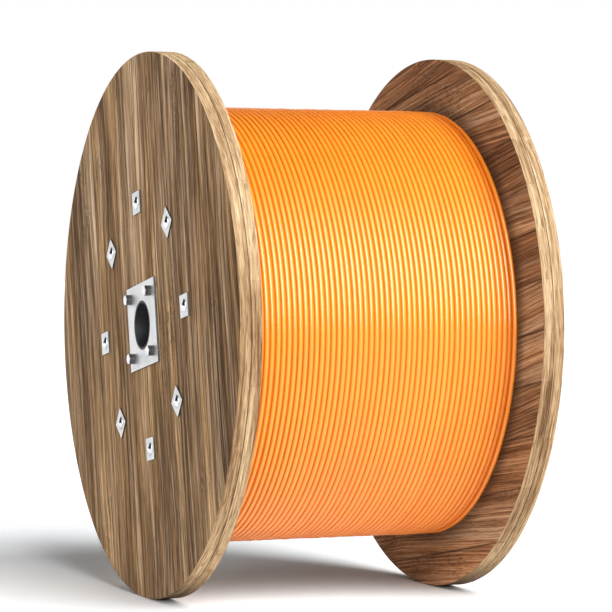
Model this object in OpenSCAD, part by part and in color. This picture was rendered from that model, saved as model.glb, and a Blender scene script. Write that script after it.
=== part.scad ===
// Wooden cable drum, full of cable and standing on the rims of its two flanges.
// The drum's axis runs along X, and its near end is at -X.
// The origin is on the floor under the drum's middle.

/* [Flanges] */
// Diameter of the two flanges
flange_d = 1000; // [800:10:1250]
// Clear width between the flanges
traverse_w = 525; // [400:5:700]
// Thickness of one ply of boards, with two plies to a flange
ply_t = 20; // [15:1:28]
// Number of boards side by side in one ply
boards_per_ply = 12; // [8:2:12]
// Width of the outer ply's two edge boards at their middle
outer_edge_board_w = 80; // [50:1:110]
// Width of the inner ply's two edge boards at their middle
inner_edge_board_w = 60; // [40:1:110]
// Gap between neighbouring boards
board_gap = 0.6; // [0.2:0.1:3]
// How far the drum has rolled back from its outer boards standing upright, in degrees
roll = 10; // [-45:1:45]

/* [Barrel] */
// Outer diameter of the barrel that the cable is wound on
barrel_d = 562; // [530:2:680]
// Thickness of a barrel stave
stave_t = 24; // [16:1:30]
// Number of staves round the barrel
stave_count = 24; // [16:1:32]
// Gap between neighbouring staves
stave_gap = 1; // [0.4:0.1:3]
// Depth of the groove in each flange that takes the ends of the staves
groove_depth = 10; // [5:1:14]
// Clearance on each side of a stave in its groove
groove_clear = 0.3; // [0.1:0.1:1]

/* [Cable] */
// Diameter of the cable
cable_d = 10.5; // [8:0.5:13]
// Number of layers of cable on the barrel
cable_layers = 12; // [5:1:14]
// How far each layer of cable nests into the one below it
layer_nest = 0.5; // [0:0.1:1.2]
// How far neighbouring turns of a layer press into each other
turn_squeeze = 0.2; // [0:0.1:0.5]
// Clearance between the cable and the wood
cable_clear = 0.3; // [0.1:0.1:1]

/* [Tie bolts] */
// Number of bolts that tie the two flanges together
tie_count = 8; // [4:1:12]
// Radius of the circle that the tie bolts stand on
tie_circle_r = 228; // [185:1:232]
// Diameter of a tie bolt
tie_d = 10; // [8:1:12]
// Diameter of a tie bolt's domed head
tie_head_d = 24.6; // [18:0.2:32]
// Height of a tie bolt's domed head
tie_head_h = 5.4; // [3:0.2:8]
// Width across the flats of a tie bolt's nut
tie_nut_af = 17; // [14:1:22]
// Height of a tie bolt's nut
tie_nut_h = 8.4; // [5:0.2:10]
// Side of a square washer
washer_w = 41; // [30:1:50]
// Thickness of a square washer
washer_t = 3; // [2:0.5:5]

/* [Centre plates] */
// Side of the square steel plate at each end
plate_w = 155; // [134:1:190]
// Thickness of the steel plate
plate_t = 4.5; // [3:0.5:8]
// Spacing of the four plate bolts, both ways
plate_bolt_spacing = 110; // [92:1:132]
// Diameter of a plate bolt
plate_bolt_d = 12; // [8:1:14]
// Width across the flats of a plate bolt's head and nut
plate_bolt_af = 18; // [16:1:22]
// Height of a plate bolt's head
plate_bolt_head_h = 12; // [6:0.5:14]
// Height of a plate bolt's nut, on the flange's inner face
plate_nut_h = 10; // [6:0.5:12]

/* [Spindle bushes] */
// Outer diameter of the bush at each end
bush_d = 90; // [76:1:108]
// Diameter of the spindle hole through the bush
spindle_d = 82; // [60:1:86]
// Clearance round the bush in the wood and the steel plate
bush_clear = 0.2; // [0.1:0.1:0.8]

/* [Fasteners] */
// Clearance round a bolt in wood and in a washer or plate
bolt_clear = 0.5; // [0.2:0.1:1]
// Clearance between a bolt's thread and its nut
thread_clear = 0.1; // [0.05:0.05:0.3]
// How far a thread stands out past its nut
thread_past_nut = 2; // [1:0.5:4]

/* [Hidden] */
$fn = 96;
// Number of sides that the rim of a flange is drawn with
rim_fn = 240;
// Number of flats round the cable where its turns show
turn_sides = 12;
// How far a cut runs past the face that it opens
cut = 1;
// Height of the straight edge under a domed head
dome_edge = 1;
// Diameter of the flat on a hexagon, as a share of its width across the flats
hexagon_flat = 0.95;
// Angle of the turned corners of a hexagon
hexagon_slope = 30;

flange_r = flange_d / 2;
flange_t = 2 * ply_t;
half_traverse = traverse_w / 2;
half_width = half_traverse + flange_t;
outer_board_w = (flange_d - 2 * outer_edge_board_w) / (boards_per_ply - 2);
inner_board_w = (flange_d - 2 * inner_edge_board_w) / (boards_per_ply - 2);

barrel_r = barrel_d / 2;
barrel_bore_r = barrel_r - stave_t;
stave_l = traverse_w + 2 * groove_depth;

winding_w = traverse_w - 2 * cable_clear;
winding_bore_r = barrel_r + cable_clear;
cable_r = cable_d / 2;
cable_turns = round((winding_w - cable_d) / (cable_d - turn_squeeze)) + 1;
cable_pitch = (winding_w - cable_d) / (cable_turns - 1);
cable_layer_pitch = cable_d - layer_nest;
first_layer_r = winding_bore_r + cable_r;
last_layer_r = first_layer_r + (cable_layers - 1) * cable_layer_pitch;

tie_shank_l = 2 * (half_width + washer_t) + tie_nut_h + thread_past_nut;
plate_shank_l = plate_t + flange_t + plate_nut_h + thread_past_nut;

wood_out = "#9a7b57";
wood_in = "#80583e";
wood_barrel = "#b08d62";
steel = "#c9c9c6";
zinc = "#b4b8ba";
black = "#1d1d1f";
orange = "#f58220";

ENDS = ["near", "far"];
PLIES = ["outer", "inner"];

function two_digits(n) = n < 10 ? str("0", n) : str(n);
function board_name(end, ply, n) = str(end, "_", ply, "_board_", two_digits(n));

// Stands children on the drum's axis at x: their X runs back, their Y up and their Z along the axis
module on_axis(x) {
    translate([x, 0, flange_r])
        rotate([-roll, 0, 0])
            rotate([90, 0, 90])
                children();
}

// Turns children made for the far end into those of the end that is named
module at_end(end) {
    mirror([end == "near" ? 1 : 0, 0, 0])
        children();
}

module on_tie_circle() {
    for (i = [0 : tie_count - 1])
        rotate([0, 0, i * 360 / tie_count])
            translate([tie_circle_r, 0, 0])
                children();
}

module on_plate_corners() {
    for (x = [-1, 1], y = [-1, 1])
        translate([x * plate_bolt_spacing / 2, y * plate_bolt_spacing / 2, 0])
            children();
}

// A hexagon whose top corners are turned off
module hexagon(af, h) {
    intersection() {
        cylinder(d = af / cos(30), h = h, $fn = 6);
        cylinder(d1 = hexagon_flat * af + 2 * h / tan(hexagon_slope), d2 = hexagon_flat * af, h = h);
    }
}

module hexagon_nut(af, h, thread_d) {
    difference() {
        hexagon(af, h);
        translate([0, 0, -cut])
            cylinder(d = thread_d + 2 * thread_clear, h = h + 2 * cut);
    }
}

// The holes that go through a whole flange, its centre plate or one ply, of thickness t
module spindle_hole(t) {
    translate([0, 0, -cut])
        cylinder(d = bush_d + 2 * bush_clear, h = t + 2 * cut);
}

module tie_holes(t) {
    translate([0, 0, -cut])
        on_tie_circle()
            cylinder(d = tie_d + 2 * bolt_clear, h = t + 2 * cut);
}

module plate_bolt_holes(t) {
    translate([0, 0, -cut])
        on_plate_corners()
            cylinder(d = plate_bolt_d + 2 * bolt_clear, h = t + 2 * cut);
}

// The groove that takes the staves, in the inner face of an inner ply
module stave_groove() {
    translate([0, 0, -cut])
        difference() {
            cylinder(r = barrel_r + groove_clear, h = groove_depth + cut);
            translate([0, 0, -cut])
                cylinder(r = barrel_bore_r - groove_clear, h = groove_depth + 3 * cut);
        }
}

// Board number n of one ply, counted from the front in the outer ply and from below in the inner ply
module board(end, ply, n) {
    is_outer = ply == "outer";
    board_w = is_outer ? outer_board_w : inner_board_w;
    first = n == 1;
    last = n == boards_per_ply;
    low = first ? -flange_r - cut : (n - 1 - boards_per_ply / 2) * board_w + board_gap / 2;
    high = last ? flange_r + cut : (n - boards_per_ply / 2) * board_w - board_gap / 2;
    color(is_outer ? wood_out : wood_in)
        at_end(end)
            on_axis(half_traverse + (is_outer ? ply_t : 0))
                difference() {
                    intersection() {
                        cylinder(r = flange_r, h = ply_t, $fn = rim_fn);
                        rotate([0, 0, is_outer ? 0 : 90])
                            translate([low, -flange_r - cut, -cut])
                                cube([high - low, flange_d + 2 * cut, ply_t + 2 * cut]);
                    }
                    spindle_hole(ply_t);
                    tie_holes(ply_t);
                    plate_bolt_holes(ply_t);
                    if (!is_outer)
                        stave_groove();
                }
}

module barrel_staves() {
    color(wood_barrel)
        on_axis(-stave_l / 2)
            difference() {
                cylinder(r = barrel_r, h = stave_l);
                translate([0, 0, -cut])
                    cylinder(r = barrel_bore_r, h = stave_l + 2 * cut);
                for (i = [0 : stave_count - 1])
                    rotate([0, 0, i * 360 / stave_count])
                        translate([barrel_bore_r - cut, -stave_gap / 2, -cut])
                            cube([stave_t + 2 * cut, stave_gap, stave_l + 2 * cut]);
            }
}

// The cable as one turned solid, whose outer face and ends follow the turns that lie there
module cable_winding() {
    color(orange)
        on_axis(-winding_w / 2)
            rotate_extrude()
                union() {
                    translate([winding_bore_r, cable_r])
                        square([last_layer_r - winding_bore_r, winding_w - cable_d]);
                    for (i = [0 : cable_turns - 1])
                        translate([last_layer_r, cable_r + i * cable_pitch])
                            circle(d = cable_d, $fn = turn_sides);
                    for (i = [0 : cable_layers - 2], y = [cable_r, winding_w - cable_r])
                        translate([first_layer_r + i * cable_layer_pitch, y])
                            circle(d = cable_d, $fn = turn_sides);
                }
}

module tie_bolts() {
    dome_h = tie_head_h - dome_edge;
    dome_r = (pow(tie_head_d / 2, 2) + pow(dome_h, 2)) / (2 * dome_h);
    color(zinc)
        on_axis(-half_width - washer_t)
            on_tie_circle()
                union() {
                    cylinder(d = tie_d, h = tie_shank_l);
                    intersection() {
                        translate([0, 0, -tie_head_h])
                            cylinder(d = tie_head_d, h = tie_head_h);
                        translate([0, 0, dome_r - tie_head_h])
                            sphere(r = dome_r);
                    }
                }
}

module tie_bolt_washers() {
    color(steel)
        for (end = ENDS)
            at_end(end)
                on_axis(half_width)
                    difference() {
                        on_tie_circle()
                            translate([-washer_w / 2, -washer_w / 2, 0])
                                cube([washer_w, washer_w, washer_t]);
                        tie_holes(washer_t);
                    }
}

module tie_bolt_nuts() {
    color(zinc)
        on_axis(half_width + washer_t)
            on_tie_circle()
                hexagon_nut(tie_nut_af, tie_nut_h, tie_d);
}

module centre_plate(end) {
    color(steel)
        at_end(end)
            on_axis(half_width)
                difference() {
                    translate([-plate_w / 2, -plate_w / 2, 0])
                        cube([plate_w, plate_w, plate_t]);
                    spindle_hole(plate_t);
                    plate_bolt_holes(plate_t);
                }
}

module spindle_bush(end) {
    bush_l = flange_t + plate_t;
    color(black)
        at_end(end)
            on_axis(half_traverse)
                difference() {
                    cylinder(d = bush_d, h = bush_l);
                    translate([0, 0, -cut])
                        cylinder(d = spindle_d, h = bush_l + 2 * cut);
                }
}

module plate_bolts() {
    color(zinc)
        for (end = ENDS)
            at_end(end)
                on_axis(half_width + plate_t)
                    on_plate_corners()
                        union() {
                            hexagon(plate_bolt_af, plate_bolt_head_h);
                            translate([0, 0, -plate_shank_l])
                                cylinder(d = plate_bolt_d, h = plate_shank_l);
                        }
}

module plate_bolt_nuts() {
    color(zinc)
        for (end = ENDS)
            at_end(end)
                on_axis(half_traverse)
                    mirror([0, 0, 1])
                        on_plate_corners()
                            hexagon_nut(plate_bolt_af, plate_nut_h, plate_bolt_d);
}

for (end = ENDS, ply = PLIES, n = [1 : boards_per_ply])
    board(end, ply, n);
barrel_staves();
cable_winding();
tie_bolts();
tie_bolt_washers();
tie_bolt_nuts();
centre_plate("near");  // near_centre_plate
centre_plate("far");  // far_centre_plate
spindle_bush("near");  // near_spindle_bush
spindle_bush("far");  // far_spindle_bush
plate_bolts();
plate_bolt_nuts();
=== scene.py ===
"""Looks of the wooden cable drum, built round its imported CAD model. Everything is in metres."""

import math

import bmesh
import bpy
import numpy as np
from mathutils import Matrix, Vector


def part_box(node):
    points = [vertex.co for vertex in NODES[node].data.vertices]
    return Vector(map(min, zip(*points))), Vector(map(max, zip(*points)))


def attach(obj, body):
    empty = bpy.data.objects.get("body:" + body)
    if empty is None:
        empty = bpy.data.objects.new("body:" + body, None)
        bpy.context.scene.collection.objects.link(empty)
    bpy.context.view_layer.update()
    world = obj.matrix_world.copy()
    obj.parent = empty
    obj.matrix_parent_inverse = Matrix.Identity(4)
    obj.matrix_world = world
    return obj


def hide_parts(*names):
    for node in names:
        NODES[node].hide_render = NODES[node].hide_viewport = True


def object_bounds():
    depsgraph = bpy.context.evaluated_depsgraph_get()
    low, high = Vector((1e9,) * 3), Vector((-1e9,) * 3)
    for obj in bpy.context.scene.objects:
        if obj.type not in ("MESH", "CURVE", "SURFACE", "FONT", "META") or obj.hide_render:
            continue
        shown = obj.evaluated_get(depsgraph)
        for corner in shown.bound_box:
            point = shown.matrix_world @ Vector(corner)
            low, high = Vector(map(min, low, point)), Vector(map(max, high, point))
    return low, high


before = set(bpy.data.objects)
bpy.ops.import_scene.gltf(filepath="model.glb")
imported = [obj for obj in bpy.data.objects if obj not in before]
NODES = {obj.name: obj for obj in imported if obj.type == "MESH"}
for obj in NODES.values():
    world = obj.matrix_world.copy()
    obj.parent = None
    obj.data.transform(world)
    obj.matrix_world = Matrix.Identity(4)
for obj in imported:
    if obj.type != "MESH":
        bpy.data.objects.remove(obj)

BODY = "root"
cad_low, cad_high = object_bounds()

# ---------------------------------------------------------------- sizes from the frame

ENDS = ("near", "far")
ROLL = math.radians(10)  # how far the drum has rolled back from its outer boards standing upright
FLANGE_R = (cad_high.z - cad_low.z) / 2
AXIS_Z = cad_low.z + FLANGE_R
HALF_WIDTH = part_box("far_outer_board_06")[1].x
HALF_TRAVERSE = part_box("far_inner_board_06")[0].x
PLY_SEAM_X = (HALF_WIDTH + HALF_TRAVERSE) / 2
BOARDS_PER_PLY = 12
OUTER_BOARD_W = 0.084
INNER_BOARD_W = 0.088

winding_low, winding_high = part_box("cable_winding")
WINDING_R = (winding_high.z - winding_low.z) / 2
WINDING_HALF_W = winding_high.x
CABLE_TURNS = 51
CABLE_PITCH = 2 * WINDING_HALF_W / CABLE_TURNS
CABLE_R = 0.00508
BARREL_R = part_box("barrel_staves")[1].z - AXIS_Z


def srgb(red, green, blue):
    """A colour given as 0 to 255 on screen, as the linear RGBA that shaders take."""
    linear = [c / 12.92 if c <= 0.04045 else ((c + 0.055) / 1.055) ** 2.4
              for c in (red / 255, green / 255, blue / 255)]
    return (*linear, 1.0)


def mesh_piece(name, vertices, faces, smooth=True):
    mesh = bpy.data.meshes.new(name)
    mesh.from_pydata(vertices, [], faces)
    mesh.validate()
    mesh.polygons.foreach_set("use_smooth", [smooth] * len(mesh.polygons))
    mesh.update()
    piece = bpy.data.objects.new(name, mesh)
    bpy.context.scene.collection.objects.link(piece)
    return piece


# ---------------------------------------------------------------- shader writing

# The band of the noise that is stretched to 0 to 1. A narrow band gives hard edges, a high one sparse marks.
EVEN_BAND = (0.30, 0.70)
FIRM_BAND = (0.32, 0.68)
CRISP_BAND = (0.36, 0.64)
STAIN_BAND = (0.35, 0.70)
SCUFF_BAND = (0.45, 0.75)
EYE_BAND = (0.48, 0.64)
DASH_BAND = (0.56, 0.66)
STROKE_BAND = (0.57, 0.67)
PATCH_BAND = (0.58, 0.68)
FLECK_BAND = (0.60, 0.69)


class Nodes:
    """A node tree that is written as expressions. Each method returns an output socket."""

    def __init__(self, tree):
        self.tree = tree
        self.tree.nodes.clear()

    def add(self, kind, out=0, inputs=None, **settings):
        node = self.tree.nodes.new("ShaderNode" + kind)
        for key, value in settings.items():
            setattr(node, key, value)
        for socket, value in (inputs or {}).items():
            if isinstance(value, bpy.types.NodeSocket):
                self.tree.links.new(value, node.inputs[socket])
            else:
                node.inputs[socket].default_value = value
        return node.outputs[out]

    def math(self, operation, *terms):
        return self.add("Math", inputs=dict(enumerate(terms)), operation=operation)

    def sum(self, *terms):
        total = terms[0]
        for term in terms[1:]:
            total = self.math("ADD", total, term)
        return total

    def times(self, a, b):
        return self.math("MULTIPLY", a, b)

    def swing(self, value, depth):
        """A value of 0 to 1, turned into a shift of up to half the depth either way."""
        return self.times(self.math("SUBTRACT", value, 0.5), depth)

    def length(self, a, b):
        return self.math("SQRT", self.sum(self.times(a, a), self.times(b, b)))

    def vector(self, x, y, z):
        return self.add("CombineXYZ", inputs={0: x, 1: y, 2: z})

    def shift(self, a, b):
        return self.add("VectorMath", inputs={0: a, 1: b}, operation="ADD")

    def scaled(self, a, b):
        return self.add("VectorMath", inputs={0: a, 1: b}, operation="MULTIPLY")

    def along(self, a, way):
        return self.add("VectorMath", out="Value", inputs={0: a, 1: way}, operation="DOT_PRODUCT")

    def chance(self, number, out):
        return self.add("TexWhiteNoise", out=out, inputs={"W": number}, noise_dimensions="1D")

    def noise(self, place, scale, detail=2.0, roughness=0.5, distortion=0.0):
        """Noise of 0 to 1, with the scale in cycles per metre."""
        return self.add("TexNoise", inputs={"Vector": self.scaled(place, scale), "Scale": 1.0,
                                            "Detail": detail, "Roughness": roughness,
                                            "Distortion": distortion})

    def marks(self, place, scale, band, smooth=False, **settings):
        """Noise with one band of it stretched to 0 to 1."""
        return self.spread(self.noise(place, scale, **settings), *band, smooth=smooth)

    def spread(self, value, low, high, to_low=0.0, to_high=1.0, smooth=False):
        kind = "SMOOTHSTEP" if smooth else "LINEAR"
        return self.add("MapRange", interpolation_type=kind, clamp=True,
                        inputs={0: value, 1: low, 2: high, 3: to_low, 4: to_high})

    def fade(self, value, low, high, start=1.0):
        """Falls smoothly from its start at the low end to nothing at the high end."""
        return self.spread(value, low, high, start, 0.0, smooth=True)

    def mix(self, factor, a, b, blend="MIX"):
        return self.add("Mix", out=2, data_type="RGBA", blend_type=blend, inputs={0: factor, 6: a, 7: b})

    def ramp(self, value, *stops):
        socket = self.add("ValToRGB", inputs={0: value})
        elements = socket.node.color_ramp.elements
        while len(elements) < len(stops):
            elements.new(0.5)
        for element, (position, colour) in zip(elements, stops):
            element.position = position
            element.color = colour
        return socket

    def bump(self, height, distance, strength):
        return self.add("Bump", inputs={"Height": height, "Distance": distance, "Strength": strength})

    def output(self, kind, surface):
        node = self.tree.nodes.new("ShaderNodeOutput" + kind)
        self.tree.links.new(surface, node.inputs["Surface"])


class Shader(Nodes):
    """A material whose patterns lie in the object's own coordinates."""

    def __init__(self, name):
        self.material = bpy.data.materials.new(name)
        self.material.use_nodes = True
        super().__init__(self.material.node_tree)
        self.place = self.add("TexCoord", out="Object")

    def finish(self, **inputs):
        surface = self.add("BsdfPrincipled", inputs={k.replace("_", " "): v for k, v in inputs.items()})
        self.output("Material", surface)
        return self.material


def drum_place(sh):
    """Places in the drum's own frame: along its axis, towards its back and up, with the roll undone."""
    centred = sh.shift(sh.place, (0, 0, -AXIS_Z))
    axial = sh.along(centred, (1, 0, 0))
    back = sh.along(centred, (0, math.cos(ROLL), -math.sin(ROLL)))
    up = sh.along(centred, (0, math.sin(ROLL), math.cos(ROLL)))
    return axial, back, up


# ---------------------------------------------------------------- wood

# Scales of the grain are in cycles per metre, across the grain, along it and through the board.
BROAD_SCALE = (15.0, 1.5, 15.0)
FIBRE_SCALE = (800.0, 34.0, 800.0)
WARMTH_SCALE = (24.0, 1.6, 24.0)
FLECK_SCALE = (120.0, 3.5, 120.0)
PATCH_SCALE = (9.0, 4.0, 9.0)
EYE_SCALE = (150.0, 62.0, 150.0)
STAVE_SCALE = (3.0, 150.0, 150.0)  # along the axis first
GRAIN_OFFSET = (30.0, 30.0, 30.0)  # how far apart the boards' stretches of grain can lie
FAR_END_SEED, OUTER_SEED, INNER_SEED = 40.0, 3.0, 203.0  # so that no two boards share their grain
THROUGH_LEAN = 0.3  # how far the rings lean on their way through a board
RING_MIDDLE = 0.45
RING_ENDING = (0.90, 0.99)  # the part of a ring in which its dark side ends
LOWEST_BOARDS = -4.5  # boards are counted from the axis, and the ones under this are lightened as painted light, standing in for light thrown up from the floor
TINT_DEPTH = 0.16
JOINT_FADE = (0.0008, 0.0035)
JOINT_BROAD, JOINT_EVEN = 0.6, 0.4  # how much of a joint comes and goes with the broad pattern
# painted shade: how far from the winding the flange faces are darkened, as if shaded by it
CONTACT_SHADE_FADE = (WINDING_R - 0.002, WINDING_R + 0.034)
WOOD_GLOSS = 0.03
WOOD_ROUGHNESS, FIBRE_ROUGHNESS, STREAK_ROUGHNESS = 0.62, 0.12, 0.08
FINE_HEIGHT, FIBRE_HEIGHT, STROKE_HEIGHT = 0.5, 0.35, -0.8

# Scales on the rim are across its width and round it. The third place only sets the plies and ends apart.
RIM_SWAY_SCALE, RIM_SWAY_DEPTH = (22.0, 3.0, 1.0), 0.016
RIM_BROAD_SCALE, RIM_BROAD_DEPTH = (64.0, 3.0, 1.0), 0.36
RIM_STREAK_SCALE, RIM_STREAK_DEPTH = (240.0, 5.5, 1.0), 0.42
RIM_FINE_SCALE, RIM_FINE_DEPTH = (700.0, 26.0, 1.0), 0.36
RIM_DASH_SCALE, RIM_DASH_DEPTH = (430.0, 30.0, 1.0), 0.6
RIM_TONE_DEPTH = 0.16
RIM_LIFT = 0.05
FAR_RIM_DEPTH = -0.0017  # for each unit of FAR_END_SEED
HEART_TURN = math.radians(107)  # where round the rim its darker heartwood lies, to the front and the back
HEART_FADE = (math.radians(8), math.radians(30))
HEART_DEPTH = -0.17
SEAM_WOBBLE_SCALE, SEAM_WOBBLE = (0.0, 30.0, 1.0), 0.0016
SEAM_FADE, SEAM_DEPTH = (0.0004, 0.0013), 0.82
# painted shade: the rim is darkened near the floor, where the drum and the floor shade it
FLOOR_SHADE_HEIGHTS, FLOOR_SHADE_DEPTH = (0.006, 0.088), 0.86
RIM_EDGE = (FLANGE_R - 0.0012, FLANGE_R - 0.0005)
RIM_STOPS = ((0.08, srgb(98, 71, 49)), (0.34, srgb(148, 118, 86)),
             (0.62, srgb(184, 156, 119)), (0.94, srgb(216, 194, 160)))
DASH_BROWN = srgb(104, 72, 46)
SEAM_BROWN = srgb(40, 28, 19)
FLOOR_SHADE_BROWN = srgb(72, 54, 39)


def saw_tooth(sh, phase):
    """Growth rings: each darkens slowly and ends abruptly."""
    part = sh.math("FRACT", phase)
    ending = sh.spread(part, *RING_ENDING, smooth=True)
    return sh.times(part, sh.math("SUBTRACT", 1.0, ending))


def rim_colour(sh, axial, back, up, end, seed, tone):
    """The sawn rim, pale and streaked, with its grain running round the flange and the plies' seam in it, and
    painted shade near the floor.
    """
    turn = sh.math("ARCTAN2", back, up)
    heart_turn = sh.math("ABSOLUTE", sh.sum(sh.math("ABSOLUTE", turn), -HEART_TURN))
    heart = sh.fade(heart_turn, *HEART_FADE)
    place = sh.vector(axial, sh.times(turn, FLANGE_R), sh.sum(end, seed))
    sway = sh.times(sh.noise(place, RIM_SWAY_SCALE), RIM_SWAY_DEPTH)
    bent = sh.shift(place, sh.vector(sway, 0.0, 0.0))
    broad = sh.marks(bent, RIM_BROAD_SCALE, EVEN_BAND)
    streak = sh.marks(bent, RIM_STREAK_SCALE, EVEN_BAND, detail=3.0)
    fine = sh.marks(bent, RIM_FINE_SCALE, EVEN_BAND)
    dash = sh.marks(bent, RIM_DASH_SCALE, DASH_BAND, detail=1.0)
    value = sh.sum(
        0.5,
        sh.swing(broad, RIM_BROAD_DEPTH),
        sh.swing(streak, RIM_STREAK_DEPTH),
        sh.swing(fine, RIM_FINE_DEPTH),
        sh.swing(tone, RIM_TONE_DEPTH),
        sh.times(heart, HEART_DEPTH),
        sh.times(end, FAR_RIM_DEPTH),
        RIM_LIFT,
    )
    rim = sh.ramp(value, *RIM_STOPS)
    rim = sh.mix(sh.times(dash, RIM_DASH_DEPTH), rim, DASH_BROWN)
    wobble = sh.swing(sh.noise(place, SEAM_WOBBLE_SCALE), SEAM_WOBBLE)
    seam_gap = sh.math("ABSOLUTE", sh.sum(sh.math("ABSOLUTE", axial), -PLY_SEAM_X, wobble))
    seam = sh.spread(seam_gap, *SEAM_FADE, 1.0, 0.0)
    rim = sh.mix(sh.times(seam, SEAM_DEPTH), rim, SEAM_BROWN)
    # painted shade on the rim near the floor
    floor_shade = sh.fade(sh.along(sh.place, (0, 0, 1)), *FLOOR_SHADE_HEIGHTS, FLOOR_SHADE_DEPTH)
    return sh.mix(floor_shade, rim, FLOOR_SHADE_BROWN)


def board_wood(name, upright, board_w, seed, figure, stops):
    """Boards of one ply. Their faces are streaky sawn wood, and the rim that they share is pale.
    The figure says how large its patterns are and how strongly they show. The stops are its colours."""
    sh = Shader(name)
    axial, back, up = drum_place(sh)
    across, lengthwise = (back, up) if upright else (up, back)

    # each board has its own tone, tint and slant, and its own stretch of grain
    board = sh.math("FLOOR", sh.math("DIVIDE", across, board_w))
    end = sh.times(sh.math("GREATER_THAN", axial, 0.0), FAR_END_SEED)
    chance = sh.chance(sh.sum(board, end, seed), "Color")
    tone = sh.along(chance, (1, 0, 0))
    tint = sh.along(chance, (0, 1, 0))
    slant = sh.swing(sh.along(chance, (0, 0, 1)), figure["slant"])
    slanted = sh.sum(across, sh.times(slant, lengthwise))
    grain = sh.shift(sh.vector(slanted, lengthwise, axial), sh.scaled(chance, GRAIN_OFFSET))

    # slow waves in the grain, which the rings and streaks follow
    wave = sh.noise(grain, figure["wave"])
    curl = sh.noise(grain, figure["curl"])
    sway = sh.sum(sh.swing(wave, figure["wave_depth"]), sh.swing(curl, figure["curl_depth"]))
    bent = sh.shift(grain, sh.vector(sway, 0.0, 0.0))
    rings = saw_tooth(sh, sh.times(sh.along(bent, (1, 0, THROUGH_LEAN)), figure["rings"]))
    broad = sh.marks(bent, BROAD_SCALE, FIRM_BAND)
    streak = sh.marks(bent, figure["streak"], CRISP_BAND, detail=3.0, roughness=0.6)
    fine = sh.marks(bent, figure["fine"], CRISP_BAND, detail=3.0, roughness=0.65)
    fibre = sh.marks(bent, FIBRE_SCALE, EVEN_BAND)
    value = sh.sum(
        0.5,
        sh.times(sh.math("SUBTRACT", RING_MIDDLE, rings), figure["ring_depth"]),
        sh.swing(broad, figure["broad_depth"]),
        sh.swing(streak, figure["streak_depth"]),
        sh.swing(fine, figure["fine_depth"]),
        sh.swing(fibre, figure["fibre_depth"]),
        sh.swing(tone, figure["tone_depth"]),
        # painted light: the lowest boards lightened, standing in for light from the floor
        sh.times(sh.math("LESS_THAN", board, LOWEST_BOARDS), figure["painted_low_light"]),
    )
    face = sh.ramp(value, *stops)
    warmth = sh.sum(sh.noise(bent, WARMTH_SCALE, detail=1.0), sh.swing(tint, TINT_DEPTH))
    warmth = sh.spread(warmth, *CRISP_BAND)
    face = sh.mix(1.0, face, sh.mix(warmth, figure["cool"], figure["warm"]), blend="MULTIPLY")

    # dark strokes and pale flecks in the grain, and patches of curly grain with small dark eyes
    strokes = sh.marks(bent, figure["stroke"], STROKE_BAND)
    face = sh.mix(sh.times(strokes, figure["stroke_depth"]), face, figure["dark"])
    flecks = sh.marks(bent, FLECK_SCALE, FLECK_BAND)
    face = sh.mix(sh.times(flecks, figure["fleck_depth"]), face, figure["pale"])
    patch = sh.marks(grain, PATCH_SCALE, PATCH_BAND, smooth=True, detail=1.0)
    eyes = sh.marks(grain, EYE_SCALE, EYE_BAND, distortion=1.3)
    face = sh.mix(sh.times(sh.times(patch, eyes), figure["eye_depth"]), face, figure["dark"])

    # dark joints between the boards, and painted shade where the flange meets the winding
    joint = sh.fade(sh.math("PINGPONG", across, board_w / 2), *JOINT_FADE)
    joint = sh.times(joint, sh.sum(sh.times(broad, JOINT_BROAD), JOINT_EVEN))
    face = sh.mix(sh.times(joint, figure["joint_depth"]), face, figure["dark"])
    radius = sh.length(back, up)
    face = sh.mix(sh.fade(radius, *CONTACT_SHADE_FADE, figure["contact_shade_depth"]), face, figure["dark"])

    rim = rim_colour(sh, axial, back, up, end, seed, tone)
    height = sh.sum(sh.times(fine, FINE_HEIGHT), sh.times(fibre, FIBRE_HEIGHT),
                    sh.times(strokes, STROKE_HEIGHT))
    return sh.finish(
        Base_Color=sh.mix(sh.spread(radius, *RIM_EDGE, smooth=True), face, rim),
        Roughness=sh.sum(sh.times(fibre, FIBRE_ROUGHNESS), sh.times(streak, STREAK_ROUGHNESS),
                         WOOD_ROUGHNESS),
        Specular_IOR_Level=WOOD_GLOSS,
        Normal=sh.bump(height, distance=0.0006, strength=0.8),
    )


def outer_ply_wood():
    figure = {
        "slant": 0.03, "painted_low_light": 0.0,
        "wave": (6.0, 1.4, 6.0), "wave_depth": 0.05,
        "curl": (20.0, 5.0, 20.0), "curl_depth": 0.012,
        "rings": 42.0, "ring_depth": 0.18,
        "streak": (70.0, 2.2, 70.0), "streak_depth": 0.40,
        "fine": (260.0, 8.0, 260.0), "fine_depth": 0.36,
        "broad_depth": 0.46, "fibre_depth": 0.30, "tone_depth": 0.18,
        "stroke": (200.0, 6.0, 200.0), "stroke_depth": 0.72,
        "fleck_depth": 0.40, "eye_depth": 0.6, "joint_depth": 0.75, "contact_shade_depth": 0.0,
        "cool": (0.97, 1.0, 1.06, 1.0), "warm": (1.04, 0.99, 0.86, 1.0),
        "dark": srgb(66, 48, 33), "pale": srgb(206, 180, 148),
    }
    stops = ((0.02, srgb(54, 37, 24)), (0.28, srgb(93, 70, 48)), (0.52, srgb(129, 101, 73)),
             (0.76, srgb(160, 131, 99)), (1.0, srgb(199, 170, 136)))
    return board_wood("outer_ply_wood", True, OUTER_BOARD_W, OUTER_SEED, figure, stops)


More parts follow.
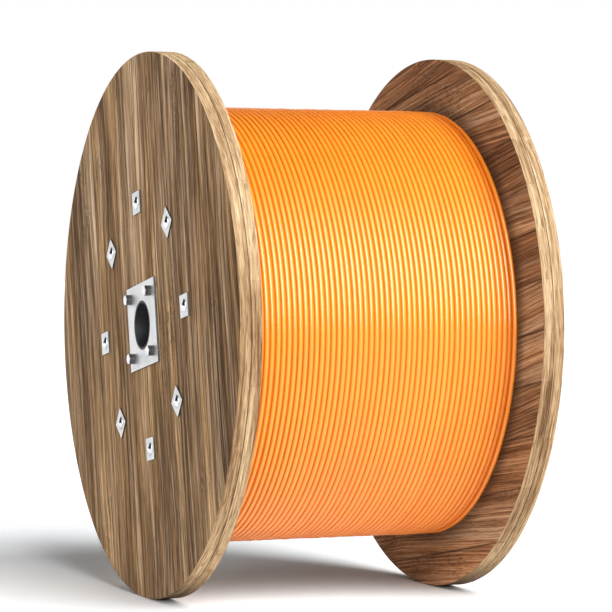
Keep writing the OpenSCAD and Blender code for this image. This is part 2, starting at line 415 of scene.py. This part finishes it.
def inner_ply_wood():
    figure = {
        "slant": 0.14, "painted_low_light": 0.32,
        "wave": (8.0, 1.6, 8.0), "wave_depth": 0.035,
        "curl": (26.0, 5.0, 26.0), "curl_depth": 0.005,
        "rings": 120.0, "ring_depth": 0.26,
        "streak": (90.0, 1.6, 90.0), "streak_depth": 0.30,
        "fine": (360.0, 4.5, 360.0), "fine_depth": 0.46,
        "broad_depth": 0.34, "fibre_depth": 0.28, "tone_depth": 0.26,
        "stroke": (260.0, 4.0, 260.0), "stroke_depth": 0.46,
        "fleck_depth": 0.26, "eye_depth": 0.45, "joint_depth": 0.8, "contact_shade_depth": 0.62,
        "cool": (0.98, 0.99, 1.02, 1.0), "warm": (1.08, 0.97, 0.88, 1.0),
        "dark": srgb(54, 33, 22), "pale": srgb(196, 148, 112),
    }
    stops = ((0.02, srgb(72, 46, 31)), (0.28, srgb(112, 75, 51)), (0.52, srgb(145, 100, 68)),
             (0.76, srgb(172, 126, 90)), (1.0, srgb(204, 160, 122)))
    return board_wood("inner_ply_wood", False, INNER_BOARD_W, INNER_SEED, figure, stops)


def stave_wood():
    """The barrel's staves run along the axis. Only their inner faces can be seen, through the bushes."""
    sh = Shader("stave_wood")
    streak = sh.marks(sh.place, STAVE_SCALE, EVEN_BAND, detail=3.0, roughness=0.6)
    colour = sh.ramp(streak, (0.1, srgb(128, 92, 58)), (0.6, srgb(176, 138, 98)), (0.9, srgb(200, 164, 122)))
    return sh.finish(Base_Color=colour, Roughness=0.6, Normal=sh.bump(streak, distance=0.0004, strength=0.5))


# ---------------------------------------------------------------- cable, steel and plastic

CLOUD_SCALE = (9.0, 9.0, 9.0)
SCUFF_SCALE = (700.0, 90.0, 90.0)
BRUSH_SCALE = (900.0, 22.0)  # across the brushing and along it
STAIN_SCALE = (30.0, 30.0, 30.0)
GRIT_SCALE = (420.0, 420.0, 420.0)
BUSH_CLOUD_SCALE = (26.0, 26.0, 26.0)
CREST_MARGIN = 0.0006  # below the winding's outside, where the painted shade of the grooves begins
TURN_TONE, CLOUD_TONE, DEEPEST_TONE = 0.05, 0.05, 0.90
SHEATH_ROUGHNESS, SCUFF_ROUGHNESS, CLOUD_ROUGHNESS = 0.15, 0.08, 0.04
BRUSHED_SHADE = 0.86
BRUSH_ROUGHNESS, STAIN_ROUGHNESS = 0.10, 0.08
STAIN_DEPTH, STAIN_GREY = 0.18, srgb(150, 152, 154)
# painted reflection: how far a face turns from the axis before it darkens, and the dark grey it takes
REFLECTION_SIDE_FACING, PAINTED_REFLECTION_GREY = (0.35, 0.75), srgb(44, 44, 46)


def cable_sheath(name, crest, groove_shade_colour, fade, gloss):
    """Glossy sheath with painted shade: deeper and redder down in the grooves, standing in for the shade
    there and the light the turns throw on each other. It is uneven from turn to turn and faintly scuffed.
    """
    sh = Shader(name)
    axial, back, up = drum_place(sh)
    turn = sh.math("FLOOR", sh.math("DIVIDE", sh.sum(axial, WINDING_HALF_W), CABLE_PITCH))
    turn_tone = sh.chance(turn, "Value")
    cloud = sh.marks(sh.place, CLOUD_SCALE, EVEN_BAND, detail=3.0)
    scuff = sh.marks(sh.place, SCUFF_SCALE, SCUFF_BAND, detail=3.0, roughness=0.65)
    crest_r = WINDING_R - CREST_MARGIN
    # painted shade: the colour deepens towards the bottoms of the grooves
    depth = sh.fade(sh.length(back, up), crest_r - fade, crest_r)
    tone = sh.sum(sh.times(turn_tone, TURN_TONE), sh.times(cloud, CLOUD_TONE), DEEPEST_TONE)
    colour = sh.mix(1.0, sh.mix(depth, crest, groove_shade_colour), sh.vector(tone, tone, tone), blend="MULTIPLY")
    return sh.finish(
        Base_Color=colour,
        Roughness=sh.sum(sh.times(scuff, SCUFF_ROUGHNESS), sh.times(cloud, CLOUD_ROUGHNESS),
                         SHEATH_ROUGHNESS),
        Specular_IOR_Level=gloss,
        Normal=sh.bump(scuff, distance=0.00005, strength=0.3),
    )


def brushed_steel(name, tone, roughness, grain_scale=1.0, painted_dark_sides=0.0):
    """Bright steel with a fine brushed grain that runs across the drum. Where asked for, faces that turn away
    from the drum's axis are darkened, a painted dark reflection."""
    sh = Shader(name)
    place = sh.vector(*drum_place(sh))
    across, along = BRUSH_SCALE
    scale = (across * grain_scale, along, across * grain_scale)
    brush = sh.marks(place, scale, EVEN_BAND, detail=3.0, roughness=0.6)
    stain = sh.marks(place, STAIN_SCALE, STAIN_BAND, detail=3.0)
    colour = sh.mix(brush, [c * BRUSHED_SHADE for c in tone[:3]] + [1.0], tone)
    colour = sh.mix(sh.times(stain, STAIN_DEPTH), colour, STAIN_GREY)
    # painted reflection: sides that face away from the drum's axis are darkened
    facing = sh.math("ABSOLUTE", sh.along(sh.add("TexCoord", out="Normal"), (1, 0, 0)))
    edge = sh.times(sh.spread(facing, *REFLECTION_SIDE_FACING, 1.0, 0.0), painted_dark_sides)
    return sh.finish(
        Base_Color=sh.mix(edge, colour, PAINTED_REFLECTION_GREY),
        Metallic=1.0,
        Roughness=sh.sum(sh.times(brush, BRUSH_ROUGHNESS), sh.times(stain, STAIN_ROUGHNESS), roughness),
        Normal=sh.bump(brush, distance=0.00006, strength=0.5),
    )


def black_plastic():
    sh = Shader("bush_plastic")
    grit = sh.marks(sh.place, GRIT_SCALE, EVEN_BAND, detail=3.0)
    cloud = sh.marks(sh.place, BUSH_CLOUD_SCALE, EVEN_BAND)
    return sh.finish(
        Base_Color=sh.mix(cloud, srgb(22, 22, 24), srgb(40, 40, 42)),
        Roughness=sh.sum(sh.times(grit, 0.15), 0.45),
        Normal=sh.bump(grit, distance=0.0001, strength=0.4),
    )


# ---------------------------------------------------------------- CAD nodes

WELD_DISTANCE = 1e-5
FLAT_ANGLE = math.radians(0.5)
SHARP_ANGLE = math.radians(35)
BEVEL_SEGMENTS = 2
BOARD_EDGE = 0.00008
BOLT_EDGE = 0.0004
WASHER_EDGE = 0.0005
PLATE_EDGE = 0.0006
BUSH_EDGE = 0.0008
STAVE_EDGE = 0.001

# the slips in the joints, a little thinner than the joints and a little below the wood round them
FILLER_HALF_T = 0.00028
FILLER_LENGTH = 0.030
FILLER_SUNK = 0.0002  # below the rim
FILLER_INSET = 0.0006  # below the faces of the ply


def soften(node, width):
    """Rounds a CAD node's sharp edges by modifiers, and smooths its round faces."""
    for polygon in node.data.polygons:
        polygon.use_smooth = True
    weld = node.modifiers.new("weld", "WELD")
    weld.merge_threshold = WELD_DISTANCE
    flat = node.modifiers.new("flat", "DECIMATE")
    flat.decimate_type = "DISSOLVE"
    flat.angle_limit = FLAT_ANGLE
    bevel = node.modifiers.new("edges", "BEVEL")
    bevel.width = width
    bevel.segments = BEVEL_SEGMENTS
    bevel.limit_method = "ANGLE"
    bevel.angle_limit = SHARP_ANGLE
    bevel.miter_outer = "MITER_ARC"
    normals = node.modifiers.new("normals", "WEIGHTED_NORMAL")
    normals.keep_sharp = True


def dress(name, material, edge):
    node = NODES[name]
    for slot in node.material_slots:
        slot.material = material
    soften(node, edge)


def slip_corners(middle, way, x_ends, upright):
    """The corners of one slip, in the joint at this middle and at one end of it."""
    reach = math.sqrt((FLANGE_R - FILLER_SUNK) ** 2 - (abs(middle) + FILLER_HALF_T) ** 2)
    corners = []
    for x in x_ends:
        for across in (middle - FILLER_HALF_T, middle + FILLER_HALF_T):
            for lengthwise in (way * reach, way * (reach - FILLER_LENGTH)):
                back, up = (across, lengthwise) if upright else (lengthwise, across)
                corners.append((x, back * math.cos(ROLL) + up * math.sin(ROLL),
                                AXIS_Z - back * math.sin(ROLL) + up * math.cos(ROLL)))
    return corners


SLIP_FACES = ((0, 1, 3, 2), (4, 6, 7, 5), (0, 4, 5, 1), (2, 3, 7, 6), (0, 2, 6, 4), (1, 5, 7, 3))


def joint_fillers(end, ply, board_w, material):
    """Slips of wood glued into the joints between the boards of one ply, at the rim."""
    side = -1 if end == "near" else 1
    inner_x, outer_x = (PLY_SEAM_X, HALF_WIDTH) if ply == "outer" else (HALF_TRAVERSE, PLY_SEAM_X)
    x_ends = (side * (inner_x + FILLER_INSET), side * (outer_x - FILLER_INSET))
    vertices, faces = [], []
    for joint in range(1 - BOARDS_PER_PLY // 2, BOARDS_PER_PLY // 2):
        for way in (-1, 1):
            base = len(vertices)
            vertices += slip_corners(joint * board_w, way, x_ends, upright=ply == "outer")
            faces += [tuple(base + i for i in quad) for quad in SLIP_FACES]
    piece = mesh_piece(f"{end}_{ply}_joint_fillers", vertices, faces, smooth=False)
    shape = bmesh.new()
    shape.from_mesh(piece.data)
    bmesh.ops.recalc_face_normals(shape, faces=shape.faces)
    shape.to_mesh(piece.data)
    shape.free()
    piece.data.materials.append(material)
    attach(piece, BODY)


def dress_frame():
    """Gives every CAD node that stays in view its material and its broken edges."""
    plies = (("outer", OUTER_BOARD_W, outer_ply_wood()), ("inner", INNER_BOARD_W, inner_ply_wood()))
    for ply, board_w, material in plies:
        for end in ENDS:
            joint_fillers(end, ply, board_w, material)
            for number in range(1, BOARDS_PER_PLY + 1):
                dress(f"{end}_{ply}_board_{number:02d}", material, BOARD_EDGE)
    grey, bright = (0.76, 0.76, 0.76, 1.0), (0.84, 0.84, 0.85, 1.0)
    plate = brushed_steel("plate_steel", grey, 0.38, painted_dark_sides=0.92)
    zinc = brushed_steel("zinc_plate", bright, 0.03, grain_scale=0.5)
    bolt = brushed_steel("bolt_steel", bright, 0.20, grain_scale=0.5, painted_dark_sides=0.86)
    bush = black_plastic()
    dress("barrel_staves", stave_wood(), STAVE_EDGE)
    dress("tie_bolt_washers", plate, WASHER_EDGE)
    for name, steel in (("tie_bolts", zinc), ("tie_bolt_nuts", zinc), ("plate_bolts", bolt),
                        ("plate_bolt_nuts", bolt)):
        dress(name, steel, BOLT_EDGE)
    for end in ENDS:
        dress(f"{end}_centre_plate", plate, PLATE_EDGE)
        dress(f"{end}_spindle_bush", bush, BUSH_EDGE)


# ---------------------------------------------------------------- the wound cable

WINDING_SEED = 7
STEPS_PER_TURN = 160
STEP_OVER = math.radians(40)  # the stretch of each turn in which the cable steps over to the next
STEP_ANGLE = math.radians(180)  # where that stretch lies, measured from the drum's front
OUTER_SIDES, INNER_SIDES = 8, 3
OUTER_HALF_ANGLE = 105  # degrees of the cable's section to each side that have the finer sides
FIRST_GAP, LAST_GAP = 3.0, 1.5  # extra slack at the winding's ends, in mean gaps
DEEPEST_TURN = 0.0009  # the most that a turn sinks in between the turns below it
SECOND_LAST_SUNK, LAST_SUNK = 0.0026, 0.0012
TURN_SWAY = 0.0002

GROOVE_DEPTH = 0.0037  # from the winding's outside to the under layers
UNDER_STEPS = 240
UNDER_PLAY = 0.0006  # between the under layers and the flanges
UNDER_CORE = BARREL_R + 0.001
UNDER_ROUND, UNDER_ROUND_DROP = 0.004, 0.0015
UNDER_END_DROP = 0.003
LAST_TURNS, LAST_TURNS_DROP = (2.4, 1.6), 0.0026  # lower under the last turns, which have sunk in


def ring_section():
    """Angles round the cable's section, with more of them on its outer side, which shows."""
    outer = [math.radians(-OUTER_HALF_ANGLE + 2 * OUTER_HALF_ANGLE * i / (OUTER_SIDES - 1))
             for i in range(OUTER_SIDES)]
    gap = math.radians(360 - 2 * OUTER_HALF_ANGLE) / (INNER_SIDES + 1)
    inner = [math.radians(OUTER_HALF_ANGLE) + gap * (i + 1) for i in range(INNER_SIDES)]
    return outer + inner


def smooth_step(value):
    value = min(1.0, max(0.0, value))
    return value * value * (3 - 2 * value)


def turn_places(chance):
    """Where each turn of the top layer lies: its place along the axis and how far it has sunk in."""
    gaps = chance.exponential(1.0, CABLE_TURNS - 1)
    gaps[0] += FIRST_GAP
    gaps[-1] += LAST_GAP
    spare = 2 * WINDING_HALF_W - 2 * CABLE_R * CABLE_TURNS
    gaps *= spare / gaps.sum()
    places = -WINDING_HALF_W + CABLE_R + np.concatenate([[0], np.cumsum(gaps + 2 * CABLE_R)])
    sunk = chance.uniform(0.0, DEEPEST_TURN, CABLE_TURNS)
    sunk[-2] = SECOND_LAST_SUNK
    sunk[-1] = LAST_SUNK
    return places, sunk


def cable_line():
    """Points of the top layer's middle line, as (place along the axis, angle, radius)."""
    chance = np.random.default_rng(WINDING_SEED)
    places, sunk = turn_places(chance)
    lean = chance.uniform(0, 2 * math.pi, CABLE_TURNS)
    last = CABLE_TURNS - 1
    points = []
    for i in range(CABLE_TURNS * STEPS_PER_TURN + 1):
        turn = min(i // STEPS_PER_TURN, last)
        angle = 2 * math.pi * (i - turn * STEPS_PER_TURN) / STEPS_PER_TURN
        after = min(turn + 1, last)
        step = smooth_step((angle - (2 * math.pi - STEP_OVER)) / STEP_OVER)
        sway = TURN_SWAY if 0 < turn < last else 0.0
        x = places[turn] + step * (places[after] - places[turn])
        x += sway * math.sin(angle + lean[turn]) * (1 - step)
        depth = sunk[turn] + step * (sunk[after] - sunk[turn])
        points.append((x, angle + STEP_ANGLE, WINDING_R - CABLE_R - depth))
    return points


def on_drum(x, angle, radius):
    """A place given by its angle, which starts at the drum's front and goes over the top."""
    return x, -radius * math.cos(angle), AXIS_Z + radius * math.sin(angle)


def top_layer():
    """The outermost layer, as one closed tube that goes round turn by turn."""
    section = ring_section()
    line = cable_line()
    vertices = [on_drum(x + CABLE_R * math.sin(t), angle, radius + CABLE_R * math.cos(t))
                for x, angle, radius in line for t in section]
    sides = len(section)
    faces = []
    for i in range(len(line) - 1):
        for j in range(sides):
            k = (j + 1) % sides
            faces.append((i * sides + j, i * sides + k, (i + 1) * sides + k, (i + 1) * sides + j))
    last = (len(line) - 1) * sides
    faces.append(tuple(reversed(range(sides))))
    faces.append(tuple(range(last, last + sides)))
    return mesh_piece("cable_top_layer", vertices, faces)


def under_layers():
    """All the layers below the top one, as a turned solid that also closes the bottoms of its grooves."""
    floor_r = WINDING_R - GROOVE_DEPTH
    half = WINDING_HALF_W - UNDER_PLAY
    profile = [
        (-half, UNDER_CORE),
        (-half, floor_r - UNDER_END_DROP),
        (-half + UNDER_ROUND, floor_r - UNDER_ROUND_DROP),
        (-half + CABLE_PITCH, floor_r),
        (half - LAST_TURNS[0] * CABLE_PITCH, floor_r),
        (half - LAST_TURNS[1] * CABLE_PITCH, floor_r - LAST_TURNS_DROP),
        (half, floor_r - UNDER_END_DROP),
        (half, UNDER_CORE),
    ]
    vertices = [on_drum(x, 2 * math.pi * s / UNDER_STEPS, r) for s in range(UNDER_STEPS) for x, r in profile]
    count = len(profile)
    faces = []
    for s in range(UNDER_STEPS):
        n = (s + 1) % UNDER_STEPS
        for j in range(count):
            k = (j + 1) % count
            faces.append((s * count + j, n * count + j, n * count + k, s * count + k))
    return mesh_piece("cable_under_layers", vertices, faces)


def wind_cable():
    top = top_layer()
    under = under_layers()
    top.data.materials.append(
        cable_sheath("cable_sheath", srgb(253, 149, 46), srgb(238, 119, 21), fade=0.0036, gloss=0.62))
    # the under layers are the same sheath in a darker, redder copy: painted shade for the bottoms of the
    # grooves
    under.data.materials.append(
        cable_sheath("cable_sheath_shaded", srgb(238, 113, 20), srgb(226, 92, 12), fade=0.0060, gloss=0.05))
    for piece in (top, under):
        piece.visible_diffuse = False  # its bounced light would tint the floor's shadow and the boards orange
        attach(piece, BODY)
    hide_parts("cable_winding")
    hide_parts("cable_winding")
    return top, under


# ---------------------------------------------------------------- floor, light and camera

FLOOR_REACH = 60.0
FLOOR_WHITE = (1.13, 1.15, 1.17, 1.0)

# Walls are given by their middle, the cosines of how far they fade out to each side, and the sines of the
# elevations between which their tops fade out. Dull surfaces see a wide one, and shiny ones a narrower one.
DULL_WALL = {"azimuth": -132, "sides": (0.45, 0.72), "top": (0.24, 0.42)}
SHINY_WALL = {"azimuth": -166, "sides": (0.74, 0.88), "top": (0.34, 0.56)}
DULL_WALL_LEVEL, DULL_DARK = 1.05, 0.09
SHINY_WALL_LEVEL, SHINY_DARK = 1.12, 0.03

# the softbox that shiny surfaces see: where its middle is, how far it fades out to each side and up and down
BOX_AZIMUTH = -1
BOX_ELEVATION = 23
BOX_SPREAD = (58, 41)
BOX_FADE = (0.25, 1.0)
BOX_LEVEL = 13.0

# the warm light that the cable and the floor below it throw back and forth
BOUNCE_PLACE = (0.0, -0.10, 0.003)
BOUNCE_SIZE = (0.46, 0.80)
BOUNCE_STRENGTH = 0.27
BOUNCE_COLOUR = (1.0, 0.20, 0.08)
GLOW_COLOUR = (1.0, 0.36, 0.08)  # what the turns of cable throw on each other

CAMERA_PLACE = (-1.9501, -4.8793, 0.6263)
CAMERA_TURN = (90 - 1.016, 0.0, -21.957)
CAMERA_LENS = 165.1
CAMERA_SENSOR = 36.0


def make_floor():
    size = FLOOR_REACH
    corners = [(-size, -size, 0), (size, -size, 0), (size, size, 0), (-size, size, 0)]
    floor = mesh_piece("floor", corners, [(0, 1, 2, 3)], smooth=False)
    sh = Shader("floor_white")
    sh.output("Material", sh.add("BsdfDiffuse", inputs={"Color": FLOOR_WHITE}))
    floor.data.materials.append(sh.material)


def direction(azimuth, elevation):
    """The way towards a light. Azimuth 0 is in front, at -Y, and grows towards +X."""
    a, e = math.radians(azimuth), math.radians(elevation)
    return Vector((math.sin(a) * math.cos(e), -math.cos(a) * math.cos(e), math.sin(e)))


def white_wall(sh, way, rise, azimuth, sides, top):
    across = sh.spread(sh.along(way, direction(azimuth, 0)), *sides, smooth=True)
    return sh.times(across, sh.fade(rise, *top))


def wide_softbox(sh, way, rise):
    side_reach, up_reach = (math.sin(math.radians(angle)) for angle in BOX_SPREAD)
    sideways = sh.math("DIVIDE", sh.along(way, direction(BOX_AZIMUTH + 90, 0)), side_reach)
    upwards = sh.math("DIVIDE", sh.sum(rise, -math.sin(math.radians(BOX_ELEVATION))), up_reach)
    in_front = sh.math("GREATER_THAN", sh.along(way, direction(BOX_AZIMUTH, 0)), 0.0)
    return sh.times(sh.fade(sh.length(sideways, upwards), *BOX_FADE), in_front)


def make_world():
    """A dark studio with one white wall, behind the drum and to the left. Shiny surfaces see less of the wall
    but also a wide softbox in front, and the camera sees plain white all round."""
    world = bpy.data.worlds.new("studio")
    bpy.context.scene.world = world
    world.use_nodes = True
    sh = Nodes(world.node_tree)
    way = sh.add("TexCoord", out="Generated")
    rise = sh.along(way, (0, 0, 1))
    dull_wall = white_wall(sh, way, rise, **DULL_WALL)
    shiny_wall = white_wall(sh, way, rise, **SHINY_WALL)
    box = wide_softbox(sh, way, rise)
    dull = sh.sum(sh.times(dull_wall, DULL_WALL_LEVEL), DULL_DARK)
    shiny = sh.sum(sh.times(shiny_wall, SHINY_WALL_LEVEL), sh.times(box, BOX_LEVEL), SHINY_DARK)
    seen_by_camera = sh.add("LightPath", out="Is Camera Ray")
    seen_in_gloss = seen_by_camera.node.outputs["Is Glossy Ray"]
    level = sh.math("MAXIMUM", seen_by_camera, sh.add("Mix", inputs={0: seen_in_gloss, 2: dull, 3: shiny}))
    sh.output("World", sh.add("Background", inputs={"Color": (1, 1, 1, 1), "Strength": level}))


def add_light(name, kind, strength, receivers=()):
    """A light that doesn't show in reflections. Receivers keep it to some pieces, so that it doesn't
    reach the floor and change its shadow."""
    data = bpy.data.lights.new(name, kind)
    data.energy = strength
    light = bpy.data.objects.new(name, data)
    bpy.context.scene.collection.objects.link(light)
    light.visible_glossy = False
    if receivers:
        group = bpy.data.collections.new(f"{name}_receivers")
        for piece in receivers:
            group.objects.link(piece)
        light.light_linking.receiver_collection = group
    return light


def soft_light(name, azimuth, elevation, width, strength, receivers=()):
    """A large round softbox, this many degrees wide, far enough away to light the whole floor evenly."""
    light = add_light(name, "SUN", strength, receivers)
    light.data.angle = math.radians(width)
    light.rotation_euler = (-direction(azimuth, elevation)).to_track_quat("-Z", "Y").to_euler()
    return light


def make_light(cable):
    make_world()
    drum = [piece for piece in bpy.data.objects if piece.type == "MESH" and piece.name != "floor"]
    soft_light("key", azimuth=16, elevation=34, width=52, strength=5.2)
    soft_light("fill", azimuth=-74, elevation=10, width=30, strength=1.35)
    bounce = add_light("bounce", "AREA", BOUNCE_STRENGTH, cable)
    bounce.data.shape = "RECTANGLE"
    bounce.data.size, bounce.data.size_y = BOUNCE_SIZE
    bounce.data.color = BOUNCE_COLOUR
    bounce.location = BOUNCE_PLACE
    bounce.rotation_euler = (math.pi, 0.0, 0.0)
    bounce.visible_camera = False
    glow = soft_light("glow", azimuth=180, elevation=80, width=60, strength=0.70, receivers=cable)
    glow.data.color = GLOW_COLOUR
    soft_light("back", azimuth=180, elevation=8, width=30, strength=2.2, receivers=drum)


def make_camera():
    data = bpy.data.cameras.new("camera")
    data.sensor_width = CAMERA_SENSOR
    data.lens = CAMERA_LENS
    camera = bpy.data.objects.new("camera", data)
    camera.location = CAMERA_PLACE
    camera.rotation_euler = [math.radians(a) for a in CAMERA_TURN]
    bpy.context.scene.collection.objects.link(camera)
    bpy.context.scene.camera = camera
    bpy.context.scene.view_settings.view_transform = "Standard"


make_camera()
dress_frame()
cable_pieces = wind_cable()
make_floor()
make_light(cable_pieces)
